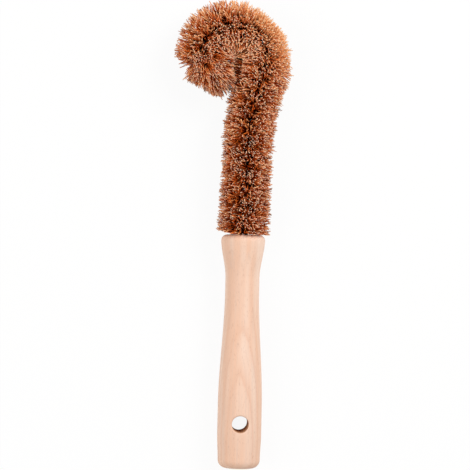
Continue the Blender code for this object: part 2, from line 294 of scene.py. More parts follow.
@dataclass(frozen=True)
class BeechFinish:
    """Turned beech, sanded and left raw: pale pinkish tan, matt, with faint growth rings and streaks.

    Sanding leaves no shine, so the wood is even and soft under any light. The layers are the warm bands of
    the boards, the cool streaks of its vessels and its short brown flecks, the last drawn a little wider
    than real ones, which would be too fine to show.
    """

    early_wood: str = "F4D5C0"
    late_wood: str = "E2AC8C"
    # The bore's wall colour is partly the drill's scorch and partly painted shade of the hole's inside
    bore_wall_scorch_and_shade: str = "E0B48E"
    bore_wall_fade_share: float = 0.03
    smooth: float = 0.53
    rough: float = 0.66
    pore_depth: float = 0.00004
    pore_strength: float = 0.5
    noise_roughness: float = 0.6
    ring_spacing: float = 0.0029
    ring_wander: float = 1.8
    ring_wander_size: float = 0.005
    ring_detail: float = 3.0
    ring_stretch_share: float = 0.06
    ring_strength: float = 0.6
    ring_stops: tuple[tuple[float, float], ...] = (
        (0.0, 1.0), (0.1, 0.25), (0.4, 0.0), (0.72, 0.2), (1.0, 0.85),
    )
    grain_slope_angle: float = 2.5
    pith_offset: tuple[float, float, float] = (0.0016, 0.0, -0.1030)
    arch_end: float = 0.092
    arch_fade: float = 0.016
    neck_ring_share: float = 0.15
    warm_end: float = 0.055
    warm_end_strength: float = 0.4
    bands: GrainLayer = GrainLayer(
        colour="EDBC9C", width=0.0065, stretch_share=0.045, detail=1.0, noise_place=0.7,
        low=0.42, high=0.64, strength=0.75,
    )
    streaks: GrainLayer = GrainLayer(
        colour="DEBEAC", width=0.0009, stretch_share=0.02, detail=3.0, noise_place=3.1,
        low=0.46, high=0.74, strength=0.5,
    )
    flecks: GrainLayer = GrainLayer(
        colour="C9977A", width=0.00045, stretch_share=0.22, detail=1.0, noise_place=5.2,
        low=0.58, high=0.74, strength=0.4,
    )

    def make(
        self, attitude: "RestingAttitude", bore_place: Array, bore_radius: float
    ) -> bpy.types.Material:
        """Build the node material.

        The rings are circles about a pith line far below the handle, which comes up towards the neck, so
        that the turned surface cuts them into arches that open towards the butt. They fade out at the
        neck, the butt's end is warmer, and the bore's wall is darker and warmer, partly the drill's scorch
        and partly painted shade of the hole's inside.

        Args:
            attitude: Where the handle's axis lies.
            bore_place: Middle of the hanging hole, in the brush's own frame.
            bore_radius: Radius within which the wall takes its darker colour of scorch and painted shade.

        Returns:
            The material.
        """
        material, tree, shader = new_material("beech, turned and sanded, unfinished")
        place = add_node(tree, "ShaderNodeTexCoord").outputs["Object"]
        pith = np.array(self.pith_offset)
        origins = ((np.zeros(3), 0.0), (pith, self.grain_slope_angle), (bore_place, 0.0))
        own_places = []
        for middle, slope in origins:
            turned = (attitude.tilt() + math.radians(slope), 0.0, 0.0)
            settings = {"vector_type": "TEXTURE", "Location": attitude.place(middle), "Rotation": turned}
            mapping = add_node(tree, "ShaderNodeMapping", settings, {"Vector": place})
            own_places.append(mapping.outputs["Vector"])
        axis_place, pith_place, bore_offset = own_places
        station = add_node(tree, "ShaderNodeSeparateXYZ", links={"Vector": axis_place}).outputs["Y"]

        drawn_out = {"vector_type": "POINT", "Scale": (1.0, self.ring_stretch_share, 1.0)}
        ring_place = add_node(tree, "ShaderNodeMapping", drawn_out, {"Vector": pith_place})
        wave_scale = math.tau / (WAVE_TEXTURE_RATE * self.ring_spacing)
        rings = add_node(
            tree, "ShaderNodeTexWave",
            {"wave_type": "RINGS", "rings_direction": "Y", "wave_profile": "SAW", "Scale": wave_scale,
             "Distortion": self.ring_wander, "Detail": self.ring_detail,
             "Detail Roughness": self.noise_roughness,
             "Detail Scale": 1 / (self.ring_wander_size * wave_scale)},
            {"Vector": ring_place.outputs["Vector"]},
        )
        ring_line = add_node(
            tree, "ShaderNodeValToRGB", links={"Fac": rings.outputs["Fac"]},
            stops={at: grey(level) for at, level in self.ring_stops},
        )
        arch_limits = (self.arch_end, self.arch_end + self.arch_fade,
                       self.ring_strength, self.ring_strength * self.neck_ring_share)
        arch_range = dict(zip(RANGE, arch_limits))
        arch_strength = add_node(tree, "ShaderNodeMapRange", arch_range, {"Value": station})
        ring_share = add_node(
            tree, "ShaderNodeMath", {"operation": "MULTIPLY"},
            {0: ring_line.outputs["Color"], 1: arch_strength.outputs["Result"]},
        ).outputs[0]
        bore_plane = add_node(
            tree, "ShaderNodeVectorMath", {"operation": "MULTIPLY", 1: (1.0, 1.0, 0.0)}, {0: bore_offset}
        ).outputs["Vector"]
        bore_distance = add_node(
            tree, "ShaderNodeVectorMath", {"operation": "LENGTH"}, {0: bore_plane}
        ).outputs["Value"]

        noises = {}
        for layer in (self.bands, self.streaks, self.flecks):
            drawn_out = {"vector_type": "POINT", "Scale": (1.0, layer.stretch_share, 1.0)}
            grain_place = add_node(tree, "ShaderNodeMapping", drawn_out, {"Vector": axis_place})
            noises[layer] = add_node(
                tree, "ShaderNodeTexNoise",
                {"noise_dimensions": "4D", "W": layer.noise_place, "Scale": 1 / layer.width,
                 "Detail": layer.detail, "Roughness": self.noise_roughness},
                {"Vector": grain_place.outputs["Vector"]},
            ).outputs["Fac"]
        bore_wall_end = bore_radius * (1 + self.bore_wall_fade_share)
        tints = [(self.bands.colour, station, (self.warm_end, 0.0, 0.0, self.warm_end_strength))]
        tints += [(layer.colour, noise, (layer.low, layer.high, 0.0, layer.strength))
                  for layer, noise in noises.items()]
        # Partly painted shade: the bore's wall takes a darker, warmer colour that fades out at its rim
        tints += [(self.bore_wall_scorch_and_shade, bore_distance, (bore_radius, bore_wall_end, 1.0, 0.0))]

        woods = {"data_type": "RGBA", MIX_A: srgb(self.early_wood), MIX_B: srgb(self.late_wood)}
        wood = add_node(tree, "ShaderNodeMix", woods, {0: ring_share}).outputs[MIX_RESULT]
        for colour, source, limits in tints:
            share = add_node(tree, "ShaderNodeMapRange", dict(zip(RANGE, limits)), {"Value": source})
            tint = {"data_type": "RGBA", MIX_B: srgb(colour)}
            mix = add_node(tree, "ShaderNodeMix", tint, {0: share.outputs["Result"], MIX_A: wood})
            wood = mix.outputs[MIX_RESULT]
        streaks = noises[self.streaks]
        roughness = add_node(
            tree, "ShaderNodeMapRange", {"To Min": self.smooth, "To Max": self.rough}, {"Value": streaks}
        )
        bump = add_node(
            tree, "ShaderNodeBump", {"Strength": self.pore_strength, "Distance": self.pore_depth},
            {"Height": streaks},
        )
        tree.links.new(wood, shader.inputs["Base Color"])
        tree.links.new(roughness.outputs["Result"], shader.inputs["Roughness"])
        tree.links.new(bump.outputs["Normal"], shader.inputs["Normal"])
        return material


@dataclass(frozen=True)
class GalvanisedFinish:
    """Drawn steel wire with a zinc coat: dull grey metal with faint cloudy spangles."""

    bright_zinc: str = "B9BCBE"
    dull_zinc: str = "96999B"
    spangle_size: float = 0.0015
    spangle_detail: float = 2.0
    dull_level: float = 0.35
    bright_level: float = 0.65
    smooth: float = 0.3
    rough: float = 0.5

    def make(self) -> bpy.types.Material:
        """Build the node material: cloudy colour and roughness from one fine noise.

        Returns:
            The material.
        """
        material, tree, shader = new_material("galvanised steel wire, drawn")
        place = add_node(tree, "ShaderNodeTexCoord").outputs["Object"]
        spangle = add_node(
            tree, "ShaderNodeTexNoise", {"Scale": 1 / self.spangle_size, "Detail": self.spangle_detail},
            {"Vector": place},
        ).outputs["Fac"]
        zinc = {self.dull_level: srgb(self.dull_zinc), self.bright_level: srgb(self.bright_zinc)}
        colour = add_node(tree, "ShaderNodeValToRGB", links={"Fac": spangle}, stops=zinc)
        roughness = add_node(
            tree, "ShaderNodeMapRange", {"To Min": self.smooth, "To Max": self.rough}, {"Value": spangle}
        )
        shader.inputs["Metallic"].default_value = 1.0
        tree.links.new(colour.outputs["Color"], shader.inputs["Base Color"])
        tree.links.new(roughness.outputs["Result"], shader.inputs["Roughness"])
        return material


@dataclass(frozen=True)
class CoirFinish:
    """Coconut fibre as it comes off the husk: red-brown to straw-coloured, matt, with pale cut ends.

    The piece's map gives each fibre's tone from dark to pale across it, and how far out towards the
    trimmed surface a point lies up it. Deep points get painted shade, darker towards the root, as little
    light gets between the fibres, and cut ends show their pale inside where they stand at the surface.
    """

    dark: str = "6E2606"
    red_brown: str = "B64812"
    orange: str = "E8782C"
    straw: str = "FFBC80"
    red_brown_tone: float = 0.3
    orange_tone: float = 0.7
    # Painted shade: fibres darken from the root place through the middle place up to the lit place
    root_shade: str = "4C1A10"
    middle_shade: str = "96583A"
    root_place: float = 0.14
    middle_place: float = 0.38
    lit_place: float = 0.6
    cut_end: str = "FFE4C6"
    bleach_stops: tuple[tuple[float, float], ...] = ((0.8, 0.0), (0.89, 0.34), (0.93, 1.0))
    roughness: float = 0.6
    specular_level: float = 0.04

    def make(self) -> bpy.types.Material:
        """Build the node material from the piece's own map alone, so that it bakes sharply.

        Returns:
            The material.
        """
        material, tree, shader = new_material("coconut fibre, raw and trimmed")
        fibre_map = add_node(tree, "ShaderNodeUVMap", {"uv_map": BAKE_MAP}).outputs["UV"]
        parts = add_node(tree, "ShaderNodeSeparateXYZ", links={"Vector": fibre_map})
        tone, outward = parts.outputs["X"], parts.outputs["Y"]
        tones = {0.0: srgb(self.dark), self.red_brown_tone: srgb(self.red_brown),
                 self.orange_tone: srgb(self.orange), 1.0: srgb(self.straw)}
        # Painted shade: a fibre's colour is multiplied darker the deeper its point lies towards the root
        shades = {self.root_place: srgb(self.root_shade), self.middle_place: srgb(self.middle_shade),
                  self.lit_place: grey(1.0)}
        bleaches = {at: grey(level) for at, level in self.bleach_stops}
        fibre, shade, bleach = (
            add_node(tree, "ShaderNodeValToRGB", links={"Fac": source}, stops=stops).outputs["Color"]
            for source, stops in ((tone, tones), (outward, shades), (outward, bleaches))
        )
        multiply = {"data_type": "RGBA", "blend_type": "MULTIPLY", 0: 1.0}
        shaded = add_node(tree, "ShaderNodeMix", multiply, {MIX_A: fibre, MIX_B: shade})
        cut_end = {"data_type": "RGBA", MIX_B: srgb(self.cut_end)}
        ends = {0: bleach, MIX_A: shaded.outputs[MIX_RESULT]}
        colour = add_node(tree, "ShaderNodeMix", cut_end, ends).outputs[MIX_RESULT]
        tree.links.new(colour, shader.inputs["Base Color"])
        shader.inputs["Roughness"].default_value = self.roughness
        shader.inputs["Specular IOR Level"].default_value = self.specular_level
        return material


# Sub-assemblies


@dataclass(frozen=True)
class RestingAttitude:
    """How the brush's own frame lies in the row frame, read off the butt mount of the record."""

    butt: Array
    along: Array

    @classmethod
    def from_record(cls, record: dict[str, Any]) -> "RestingAttitude":
        """Take the butt's middle and the handle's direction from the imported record."""
        mount = next(mount for mount in record["mounts"] if mount["name"] == "butt_face")
        return cls(np.array(mount["pos_m"]), unit(-np.array(mount["axis"])))

    def tilt(self) -> float:
        """Angle of the handle's axis over the floor, in radians."""
        return math.asin(self.along[2])

    def place(self, points: Array) -> Array:
        """Lay points of the brush frame down: butt + x times right + y times along + z times their normal."""
        above = np.cross(RIGHT, self.along)
        return self.butt + points[..., :1] * RIGHT + points[..., 1:2] * self.along + points[..., 2:] * above


@dataclass(frozen=True)
class StemRoute:
    """Route of the stem's core: runs of even bend, from the handle's top face to the end of the crook."""

    handle_length: float = 0.140
    root_bend_radius: float = 0.150
    root_bend_angle: float = -2.1
    shaft_length: float = 0.0509
    out_bend_radius: float = 0.109
    out_bend_angle: float = -15.8
    back_bend_radius: float = 0.180
    back_bend_angle: float = 5.0
    crook_radius: float = 0.0195
    crook_angle: float = 171.7
    curl_radius: float = 0.0155
    curl_angle: float = 51.3
    wire_diameter: float = 0.002
    twist_pitch: float = 0.0162
    untwist_length: float = 0.004
    twist_radius: float = 0.0017

    def runs(self) -> list[tuple[float, float]]:
        """Length and curvature of each run, with curvature above 0 where the stem turns left.

        Returns:
            A pair for each run, from the handle's top face to the end of the crook.
        """
        bends = [
            (self.root_bend_radius, self.root_bend_angle),
            (self.out_bend_radius, self.out_bend_angle),
            (self.back_bend_radius, self.back_bend_angle),
            (self.crook_radius, self.crook_angle),
            (self.curl_radius, self.curl_angle),
        ]
        runs = [(radius * abs(math.radians(turn)), math.copysign(1 / radius, turn)) for radius, turn in bends]
        return runs[:1] + [(self.shaft_length, 0.0)] + runs[1:]

    def length(self) -> float:
        """Length of the stem outside the handle."""
        return sum(length for length, _ in self.runs())

    def fold_start(self) -> float:
        """Where the two legs end and the fold at the tip begins."""
        return self.length() - self.twist_radius - self.wire_diameter / 2

    def core(self, distance: Array) -> tuple[Array, Array, Array, Array]:
        """Follow the core.

        In a run of curvature k the heading h grows by k times the step, x by the change of cos h over k
        and y by the change of sin h over k. A straight run moves by the step along its heading. Before
        the first run and after the last the core goes straight on.

        Args:
            distance: Distances along the stem, of shape (count,).

        Returns:
            Core points, forward directions and left-hand directions, each of shape (count, 3), and the
            curvature there, of shape (count,).
        """
        x = np.zeros_like(distance)
        y = self.handle_length + np.minimum(distance, 0.0)
        heading = np.zeros_like(distance)
        bend = np.zeros_like(distance)
        start, turned = 0.0, 0.0
        for length, curvature in self.runs():
            step = np.clip(distance - start, 0.0, length)
            if curvature:
                x += (np.cos(turned + curvature * step) - math.cos(turned)) / curvature
                y += (np.sin(turned + curvature * step) - math.sin(turned)) / curvature
            else:
                x -= math.sin(turned) * step
                y += math.cos(turned) * step
            heading += curvature * step
            bend = np.where(distance > start, curvature, bend)
            turned += curvature * length
            start += length
        beyond = np.maximum(distance - start, 0.0)
        x -= np.sin(heading) * beyond
        y += np.cos(heading) * beyond
        flat = np.zeros_like(distance)
        forward = np.stack((-np.sin(heading), np.cos(heading), flat), axis=-1)
        left = np.stack((-np.cos(heading), -np.sin(heading), flat), axis=-1)
        return np.stack((x, y, flat), axis=-1), forward, left, bend

    def twist(self, distance: Array) -> Array:
        """Turn of the two legs about the core, which eases to a stop before the fold.

        It is 2 pi over the pitch times the distance. Over the untwisted length u, where s goes from 0 to 1,
        the distance that counts grows by u (s / 2 + sin(pi s) / 2 pi) instead of by u s.

        Args:
            distance: Distances along the stem.

        Returns:
            Turns in radians.
        """
        fade_start = self.fold_start() - self.untwist_length
        share = np.clip((distance - fade_start) / self.untwist_length, 0.0, 1.0)
        faded = self.untwist_length * (share / 2 + np.sin(math.pi * share) / math.tau)
        return math.tau * (np.minimum(distance, fade_start) + faded) / self.twist_pitch

    def around(self, distance: Array, angle: Array) -> Array:
        """Directions square to the core at an angle from its left-hand side: left cos + up sin."""
        _, _, left, _ = self.core(distance)
        return left * np.cos(angle)[..., None] + UP * np.sin(angle)[..., None]


@dataclass(frozen=True)
class Handle:
    """One turned piece of beech with a blind socket in its top face and a drilled hanging hole."""

    length: float = 0.140
    butt_end_radius: float = 0.01265
    butt_rounding: float = 0.005
    butt_swell_length: float = 0.015
    butt_radius: float = 0.0132
    taper_length: float = 0.068
    neck_radius: float = 0.0102
    neck_length: float = 0.008
    flare_length: float = 0.024
    collar_length: float = 0.002
    collar_radius: float = 0.0132
    collar_rounding: float = 0.0036
    socket_radius: float = 0.0030
    socket_depth: float = 0.036
    socket_point: float = 0.0015
    mouth_chamfer: float = 0.0004
    hole_radius: float = 0.005
    hole_from_butt: float = 0.027
    hole_rounding: float = 0.0009
    sides: int = 144
    station_spacing: float = 0.001
    rounding_steps: int = 12
    window_half_width: float = 0.0085
    window_rings: int = 10
    window_ring_power: float = 0.8
    wall_rings: int = 12
    seam: float = 0.000004
    sharp_angle: float = 40.0

    def body_radius(self, station: Array) -> Array:
        """Radius of the turned body before its ends are rounded.

        It is eased up from the butt's end to its widest part, down to the neck's and up to the collar's.

        Args:
            station: Distances from the butt face along the axis.

        Returns:
            Radii in metres.
        """
        flare_start = self.length - self.collar_length - self.flare_length
        taper_start = flare_start - self.neck_length - self.taper_length
        swell = ease((station - self.butt_rounding) / self.butt_swell_length)
        taper = ease((station - taper_start) / self.taper_length)
        flare = ease((station - flare_start) / self.flare_length)
        radius = self.butt_end_radius + (self.butt_radius - self.butt_end_radius) * swell
        radius = radius + (self.neck_radius - self.butt_radius) * taper
        return radius + (self.collar_radius - self.neck_radius) * flare

    def outer_radius(self, station: Array) -> Array:
        """Radius of the turned body with its two quarter-round ends.

        A rounding of radius r, at a station that is m short of it, takes off r less the root of r squared
        less m squared.

        Args:
            station: Distances from the butt face along the axis.

        Returns:
            Radii in metres.
        """
        radius = self.body_radius(station)
        ends = ((self.butt_rounding, station), (self.collar_rounding, self.length - station))
        for rounding, inset in ends:
            missing = np.clip(rounding - inset, 0.0, rounding)
            radius = radius - (rounding - np.sqrt(rounding**2 - missing**2))
        return radius

    def stations(self) -> Array:
        """Stations of the outer surface: even steps between the roundings, and even turns on them.

        Returns:
            Distances from the butt face along the axis, from 0 to the handle's length.
        """
        turn = np.linspace(0.0, math.pi / 2, self.rounding_steps + 1)
        steps = round((self.length - self.butt_rounding - self.collar_rounding) / self.station_spacing)
        body = np.linspace(self.butt_rounding, self.length - self.collar_rounding, steps + 1)
        top = self.length - self.collar_rounding * (1 - np.sin(turn[1:]))
        return np.concatenate((self.butt_rounding * (1 - np.cos(turn[:-1])), body, top))

    def surface(self, x: Array, station: Array, face: Face) -> Array:
        """Points of the outer surface over x and station: z squared is r squared less x squared."""
        depth = np.sqrt(np.maximum(self.outer_radius(station) ** 2 - x**2, 0.0))
        return np.stack((x, station, face.value * depth), axis=-1)

    def window(self, stations: Array) -> tuple[Array, Array, Array]:
        """Find the part of the surface grid round the hanging hole.

        Args:
            stations: The grid's stations.

        Returns:
            The first and last row, the half width in columns, and the border's (row, column) pairs in turn
            about the hole, with columns counted from the middle of the face.
        """
        limits = np.array((-self.window_half_width, self.window_half_width)) + self.hole_from_butt
        low, high = np.searchsorted(stations, limits)
        half = round(math.asin(self.window_half_width / self.butt_radius) / (math.tau / self.sides))
        across = np.arange(-half, half)
        up = np.arange(low, high)
        border = np.concatenate((
            np.stack((np.full_like(across, low), across), axis=-1),
            np.stack((up, np.full_like(up, half)), axis=-1),
            np.stack((np.full_like(across, high), -across), axis=-1),
            np.stack((up[::-1] + 1, np.full_like(up, -half)), axis=-1),
        ))
        return np.array((low, high)), np.array(half), border

    def hole_patch(self, border: Array, stations: Array, face: Face) -> Array:
        """Rings from the window's border in to the hole's rim and round its edge.

        Seen from above, a ring's points lie on straight lines from the rim to the border, and their height
        is the surface's. On the last rings the radius closes by the edge's rounding as a quarter circle.

        Args:
            border: The window's border as (row, column) pairs.
            stations: The grid's stations.
            face: Which face of the handle.

        Returns:
            Points of shape (rings, border points, 3), the border first.
        """
        turn = border[:, 1] * math.tau / self.sides
        station = stations[border[:, 0]]
        edge = np.stack((self.outer_radius(station) * np.sin(turn), station), axis=-1)
        middle = np.array((0.0, self.hole_from_butt))
        spoke = unit(edge - middle)
        rim = middle + spoke * (self.hole_radius + self.hole_rounding)
        share = np.linspace(0.0, 1.0, self.window_rings)[:, None, None] ** self.window_ring_power
        flat = edge + (rim - edge) * share
        rings = [self.surface(ring[:, 0], ring[:, 1], face) for ring in flat]
        for bend in np.linspace(0.0, math.pi / 2, self.rounding_steps // 2 + 1)[1:]:
            ring = middle + spoke * (self.hole_radius + self.hole_rounding * (1 - math.sin(bend)))
            points = self.surface(ring[:, 0], ring[:, 1], face)
            points[:, 2] -= face.value * self.hole_rounding * (1 - math.cos(bend))
            rings.append(points)
        return np.array(rings)

    def build(self, attitude: RestingAttitude, finish: BeechFinish) -> bpy.types.Object:
        """Turn the handle, drill it and dress it.

        The outer surface is the profile's radius carried round the axis: x is r sin a, z is r cos a.

        Args:
            attitude: Where the handle lies.
            finish: The wood.

        Returns:
            The handle.
        """
        stations = self.stations()
        socket = np.array((
            (self.length, self.socket_radius + self.mouth_chamfer),
            (self.length - self.mouth_chamfer, self.socket_radius),
            (self.length - self.socket_depth, self.socket_radius),
            (self.length - self.socket_depth - self.socket_point, 0.0),
        ))
        station = np.concatenate(((0.0,), stations, socket[:, 0]))
        radius = np.concatenate(((0.0,), self.outer_radius(stations), socket[:, 1]))
        turn = np.arange(self.sides) * math.tau / self.sides
        grid = np.stack((
            radius[:, None] * np.sin(turn),
            np.repeat(station[:, None], self.sides, axis=1),
            radius[:, None] * np.cos(turn),
        ), axis=-1)
        quads = ring_faces(len(station), self.sides)
        rows, half, border = self.window(stations)
        row, column = quads[:, 0] // self.sides - 1, quads[:, 0] % self.sides
        in_rows = (row >= rows[0]) & (row < rows[1])
        middle_columns = {Face.UPPER: 0, Face.LOWER: self.sides // 2}
        vertices, faces = [grid.reshape(-1, 3)], []
        patches = {}
        for face, middle in middle_columns.items():
            offset = (column - middle + self.sides // 2) % self.sides - self.sides // 2
            inside = in_rows & (offset >= -half) & (offset < half)
            in_rows, quads, row, column = in_rows[~inside], quads[~inside], row[~inside], column[~inside]
            patches[face] = self.hole_patch(border, stations, face)
        faces.append(quads)
        start = len(vertices[0])
        for face, patch in patches.items():
            vertices.append(patch.reshape(-1, 3))
            faces.append(ring_faces(len(patch), len(border)) + start)
            start += len(vertices[-1])
        share = np.linspace(0.0, 1.0, self.wall_rings)[:, None, None]
        wall = patches[Face.UPPER][-1] * (1 - share) + patches[Face.LOWER][-1] * share
        vertices.append(wall.reshape(-1, 3))
        faces.append(ring_faces(len(wall), len(border)) + start)

        mesh = make_mesh("turned_handle", attitude.place(np.concatenate(vertices)), faces)
        close_mesh(mesh, self.seam, self.sharp_angle)
        bore_place = np.array((0.0, self.hole_from_butt, 0.0))
        return show_piece(mesh, finish.make(attitude, bore_place, self.hole_radius), "handle")


@dataclass(frozen=True)
class StemWire:
    """One galvanised wire, folded at the tip of the head and twisted with the fibres between its legs."""

    route: StemRoute
    socket_depth: float = 0.0356
    points_per_turn: int = 32
    fold_points: int = 14
    sides: int = 14
    seam: float = 0.000002
    sharp_angle: float = 60.0

    def centre_line(self) -> tuple[Array, Array]:
        """Follow the wire up its first leg, round the fold and down its second leg.

        A leg is a helix about the core: core point + twist radius times the direction across the legs. The
        fold is a half circle of the same radius in the plane of the legs.

        Returns:
            Points of the wire's centre line and, for each, the outward direction from the core.
        """
        route, end = self.route, self.route.fold_start()
        count = math.ceil((end + self.socket_depth) / route.twist_pitch * self.points_per_turn)
        distance = np.linspace(-self.socket_depth, end, count + 1)
        core, _, _, _ = route.core(distance)
        across = route.around(distance, route.twist(distance))
        legs = {leg: (core + across * leg.value * route.twist_radius, across * leg.value) for leg in Leg}
        turn = np.linspace(0.0, math.pi, self.fold_points + 1)[1:-1, None]
        tip = np.array((end,))
        tip_core, tip_forward, _, _ = route.core(tip)
        outward = route.around(tip, route.twist(tip)) * np.cos(turn) + tip_forward * np.sin(turn)
        first, second = legs[Leg.FIRST], legs[Leg.SECOND]
        points = np.concatenate((first[0], tip_core + outward * route.twist_radius, second[0][::-1]))
        return points, np.concatenate((first[1], outward, second[1][::-1]))

    def build(self, attitude: RestingAttitude, finish: GalvanisedFinish) -> bpy.types.Object:
        """Carry a circle along the centre line and close its two cut ends.

        A ring's points are p + r (n cos a + b sin a), where n is the outward direction made square to the
        wire and b is square to both.

        Args:
            attitude: Where the brush lies.
            finish: The metal.

        Returns:
            The wire.
        """
        points, outward = self.centre_line()
        tangent = unit(np.gradient(points, axis=0))
        normal = unit(outward - tangent * np.sum(outward * tangent, axis=1, keepdims=True))
        beside = np.cross(tangent, normal)
        turn = np.arange(self.sides) * math.tau / self.sides
        circle = normal[:, None] * np.cos(turn)[:, None] + beside[:, None] * np.sin(turn)[:, None]
        rings = points[:, None] + circle * self.route.wire_diameter / 2
        last = (len(points) - 1) * self.sides
        caps = np.stack((np.arange(self.sides)[::-1], np.arange(self.sides) + last))
        faces = [ring_faces(len(points), self.sides), caps]
        mesh = make_mesh("twisted_wire", attitude.place(rings.reshape(-1, 3)), faces)
        close_mesh(mesh, self.seam, self.sharp_angle)
        return show_piece(mesh, finish.make(), "stem_wire")


@dataclass(frozen=True)
class Tufts:
    """Small cells of the trimmed surface, in which fibre tips draw together and share two draws."""

    cell_size: float = 0.0021
    pull_share: float = 0.14
    slide: float = 0.0005
    stagger: float = 0.7
    table_size: int = 4096
    row_prime: int = 7919
    column_prime: int = 104729
    seed: int = 11

    def gather(self, distance: Array, angle: Array, radius: float) -> tuple[Array, Array, Array]:
        """Draw fibre tips together.

        The surface is cut into cells by distance along the stem and by angle about it, each row turned
        against the last. A tip moves by a share of its way to the middle of its cell, which itself slides
        by the cell's own draws. A cell takes its row of one table by a hash of its two numbers.

        Args:
            distance: Distances along the stem at which the tips stand.
            angle: Their angles about the core, in radians.
            radius: Radius of the trimmed surface.

        Returns:
            The new distances, the new angles and the two draws that all fibres of a cell share.
        """
        table = np.random.default_rng(self.seed).normal(size=(self.table_size, 4))
        row = np.floor(distance / self.cell_size)
        turned = row * self.stagger
        column = np.floor((angle + turned) * radius / self.cell_size)
        hashed = row.astype(np.int64) * self.row_prime + column.astype(np.int64) * self.column_prime
        draws = table[hashed % self.table_size]
        middle_distance = (row + 0.5) * self.cell_size + self.slide * draws[:, 0]
        middle_angle = (column + 0.5) * self.cell_size / radius - turned
        middle_angle = middle_angle + self.slide / radius * draws[:, 1]
        pulled_distance = distance + (middle_distance - distance) * self.pull_share
        return pulled_distance, angle + (middle_angle - angle) * self.pull_share, draws[:, 2:]


@dataclass(frozen=True)
class Hollows:
    """Dark partings in the bristles' upper side, each a place in plan and a size.

    The places are those of the larger partings on the real brush: a chain of them over the stem's core,
    a ring of them round the crook, and a slit where the head's fibres meet the shaft's.
    """

    core_chain: tuple[tuple[float, float, float], ...] = (
        (-0.0085, 0.1447, 0.0022), (-0.0020, 0.1432, 0.0020), (0.0086, 0.1527, 0.0018),
        (-0.0085, 0.1610, 0.0026), (-0.0055, 0.1618, 0.0024), (0.0006, 0.1645, 0.0018),
        (0.0017, 0.1695, 0.0020), (-0.0055, 0.1733, 0.0024), (-0.0122, 0.1779, 0.0026),
        (0.0003, 0.1812, 0.0024), (0.0074, 0.1807, 0.0016), (0.0072, 0.1926, 0.0020),
        (-0.0054, 0.1959, 0.0024), (-0.0020, 0.2026, 0.0024), (0.0012, 0.2032, 0.0022),
        (0.0009, 0.2086, 0.0026), (0.0049, 0.2140, 0.0028), (0.0031, 0.2187, 0.0022),
        (-0.0030, 0.2216, 0.0022), (0.0065, 0.2265, 0.0024), (0.0111, 0.2326, 0.0026),
        (0.0144, 0.2440, 0.0022),
    )
    crook_ring: tuple[tuple[float, float, float], ...] = (
        (-0.0044, 0.2626, 0.0016), (-0.0134, 0.2671, 0.0022), (-0.0252, 0.2597, 0.0034),
        (-0.0286, 0.2507, 0.0020), (-0.0242, 0.2390, 0.0040), (-0.0177, 0.2450, 0.0026),
    )
    slit: tuple[tuple[float, float, float], ...] = (
        (-0.0056, 0.2470, 0.0012), (-0.0056, 0.2444, 0.0012), (-0.0056, 0.2418, 0.0012),
        (-0.0058, 0.2392, 0.0010), (-0.0060, 0.2368, 0.0010), (-0.0063, 0.2346, 0.0010),
    )
    depth: float = 0.0034
    push: float = 0.0013
    least_distance: float = 0.00056

    def sink(self, tip: Array, direction: Array, lowest: float) -> tuple[Array, Array]:
        """Part the trimmed surface over the hollows, where its dark inside shows from above.

        A tip feels a hollow by a bell of its distance in plan: exp of minus the square of the distance
        over the size. It draws back along its fibre by the depth times the bells' sum, at most 1, and goes
        aside by the push times each bell.

        Args:
            tip: Places of the tips.
            direction: The fibres' directions.
            lowest: Height over the stem's plane from which tips feel the hollows.

        Returns:
            The new tips, and how far each has sunk, from 0 to 1.
        """
        x, y, size = np.array(self.core_chain + self.crook_ring + self.slit).T
        offset = tip[:, None, :2] - np.stack((x, y), axis=-1)
        apart = np.linalg.norm(offset, axis=-1)
        bell = np.exp(-((apart / size) ** 2)) * (tip[:, None, 2] > lowest)
        aside = np.sum(offset * (bell / np.maximum(apart, self.least_distance))[..., None], axis=1)
        sunk = np.minimum(np.sum(bell, axis=1), 1.0)
        moved = tip - direction * (self.depth * sunk)[:, None]
        moved[:, :2] += self.push * aside
        return moved, sunk


@dataclass(frozen=True)
class Trim:
    """Form to which the shears trim the bristles, as reaches from the core at places along the stem."""

    radius: float = 0.0153
    places: tuple[float, ...] = (0.0, 0.02, 0.045, 0.082, 0.098, 0.122, 0.136, 0.150, 0.166, 0.1705)
    inner: tuple[float, ...] = (
        0.0156, 0.0153, 0.0149, 0.0160, 0.0212, 0.0212, 0.0208, 0.0210, 0.0216, 0.0216,
    )
    outer: tuple[float, ...] = (
        0.0150, 0.0148, 0.0148, 0.0151, 0.0156, 0.0129, 0.0148, 0.0170, 0.0163, 0.0104,
    )
    burst_outer: float = 0.0166
    burst_extra: float = 0.0102
    burst_extra_shift: float = 0.6

    def reach(self, distance: Array, inwards: Array, lean: Array) -> Array:
        """Distance from the core to the trimmed surface.

        Straight up and down it is the plain radius, and to the sides it is eased to the inner or outer trim
        at that distance. A leaning fibre goes over to the burst's own trim by the sine of its lean. On the
        inner side that trim grows by the extra reach times the inwards share plus the shift, at most 1.

        Args:
            distance: Distances along the stem.
            inwards: Share of each direction that looks to the stem's left.
            lean: Forward leans, in radians.

        Returns:
            Reaches in metres.
        """
        outer, inner = ease(-inwards), ease(inwards)
        reach = self.radius + (np.interp(distance, self.places, self.outer) - self.radius) * outer
        reach += (np.interp(distance, self.places, self.inner) - self.radius) * inner
        burst = self.radius + (self.burst_outer - self.radius) * outer
        burst = burst + self.burst_extra * np.clip(inwards + self.burst_extra_shift, 0.0, 1.0)
        return reach + (burst - reach) * np.sin(lean)


